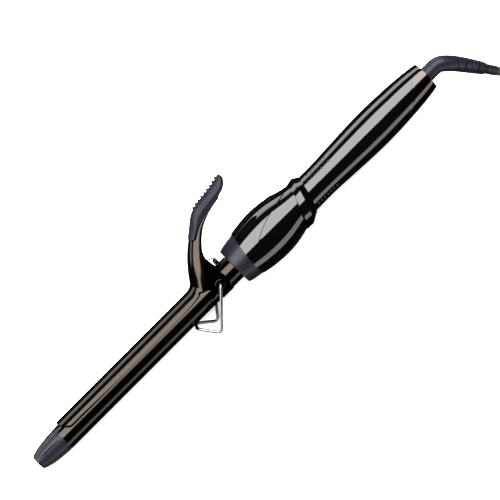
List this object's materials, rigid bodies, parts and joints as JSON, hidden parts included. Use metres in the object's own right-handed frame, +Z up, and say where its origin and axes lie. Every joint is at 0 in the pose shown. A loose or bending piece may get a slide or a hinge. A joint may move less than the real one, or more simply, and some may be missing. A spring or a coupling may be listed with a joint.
{
  "type": "curling iron",
  "caption": "Spring-clamp curling iron with a 19 mm barrel, fold-out wire stand, oval handle and swivel cord, lying on its side with its cord coiled.",
  "frame": {"origin": "on the table, below the middle of the iron without its cord", "axes": "+X along the barrel from the cool tip towards the cord, +Y towards the thumb lever, +Z up from the table"},
  "size_m": [0.5676, 0.1527, 0.0408],
  "materials": {
    "black_chrome": "glossy dark metallic coating",
    "cap_chrome": "polished dark metallic coating",
    "pivot_bronze": "dark bronzed steel",
    "slate_moulding": "satin heat-resistant moulding",
    "gloss_black": "high-gloss black moulding",
    "smoked_window": "smoked clear lens",
    "chromed_wire": "polished chrome wire",
    "bright_steel": "bright plated steel",
    "heater_aluminium": "extruded aluminium",
    "film_insulation": "amber polyimide film",
    "heater_ceramic": "sintered ceramic",
    "electrode_metal": "stamped strip",
    "sensor_glass": "glass bead",
    "lead_sleeve": "glass-fibre and silicone sleeve",
    "board_laminate": "green epoxy laminate",
    "component_body": "moulded component bodies",
    "swivel_plastic": "reinforced nylon",
    "contact_copper": "copper alloy contacts",
    "cord_jacket": "matt flexible jacket",
    "strap_fabric": "hook and loop tape",
    "plug_rubber": "moulded plug body",
    "plug_brass": "nickel-plated brass pins"
  },
  "bodies": {
    "iron": {"barrel_bush": "slate_moulding", "barrel_tube": "black_chrome", "board_components": "component_body", "brushes": "contact_copper", "button_switch": "component_body", "case_screws": "bright_steel", "circuit_board": "board_laminate", "control_cover": "gloss_black", "cool_tip": "slate_moulding", "cord_coil": "cord_jacket", "cord_tie": "strap_fabric", "cord_tube": "cord_jacket", "display_module": "component_body", "display_window": "smoked_window", "electrode_lower": "electrode_metal", "electrode_upper": "electrode_metal", "end_cap": "cap_chrome", "front_collar": "slate_moulding", "handle_shell_lower": "gloss_black", "handle_shell_upper": "gloss_black", "heater_half_lower": "heater_aluminium", "heater_half_upper": "heater_aluminium", "heater_insulation": "film_insulation", "heater_lead_left": "lead_sleeve", "heater_lead_right": "lead_sleeve", "lever_spring": "pivot_bronze", "mains_lead_left": "lead_sleeve", "mains_lead_right": "lead_sleeve", "pivot_bracket": "pivot_bronze", "pivot_eyelets": "black_chrome", "plug_body": "plug_rubber", "plug_pins": "plug_brass", "ptc_plates": "heater_ceramic", "spring_seat": "pivot_bronze", "strain_relief": "slate_moulding", "swivel_housing": "swivel_plastic", "thermal_fuse": "electrode_metal", "thermistor": "sensor_glass", "tip_mount": "bright_steel", "tip_screw": "bright_steel"},
    "clamp": {"clamp_lever": "black_chrome", "thumb_rest": "slate_moulding", "thumb_screw": "bright_steel"},
    "stand": {"stand_wire": "chromed_wire"},
    "button": {"power_button": "gloss_black"},
    "swivel": {"swivel_rotor": "swivel_plastic", "slip_rings": "contact_copper"}
  },
  "joints": [
    {"name": "clamp_hinge", "type": "hinge", "parent": "iron", "child": "clamp", "pos_m": [-0.01689, -0.01566, 0.01769], "axis": [0.0522, 0.0583, -0.9969], "range_deg": [0, 26], "stiffness_Nm_per_rad": 0.4, "springref_deg": -22.92, "deforming": ["lever_spring"]},
    {"name": "stand_hinge", "type": "hinge", "parent": "iron", "child": "stand", "pos_m": [-0.01689, -0.01566, 0.01769], "axis": [-0.0522, -0.0583, 0.9969], "range_deg": [0, 90]},
    {"name": "button_press", "type": "slide", "parent": "iron", "child": "button", "axis": [0.003, -0.9983, -0.0582], "range_m": [0, 0.0008], "stiffness_N_per_m": 500, "springref_m": -0.0004},
    {"name": "cord_swivel", "type": "hinge", "parent": "iron", "child": "swivel", "pos_m": [0.18284, -0.01715, 0.02807], "axis": [0.9986, 0, 0.0523], "continuous": true}
  ]
}
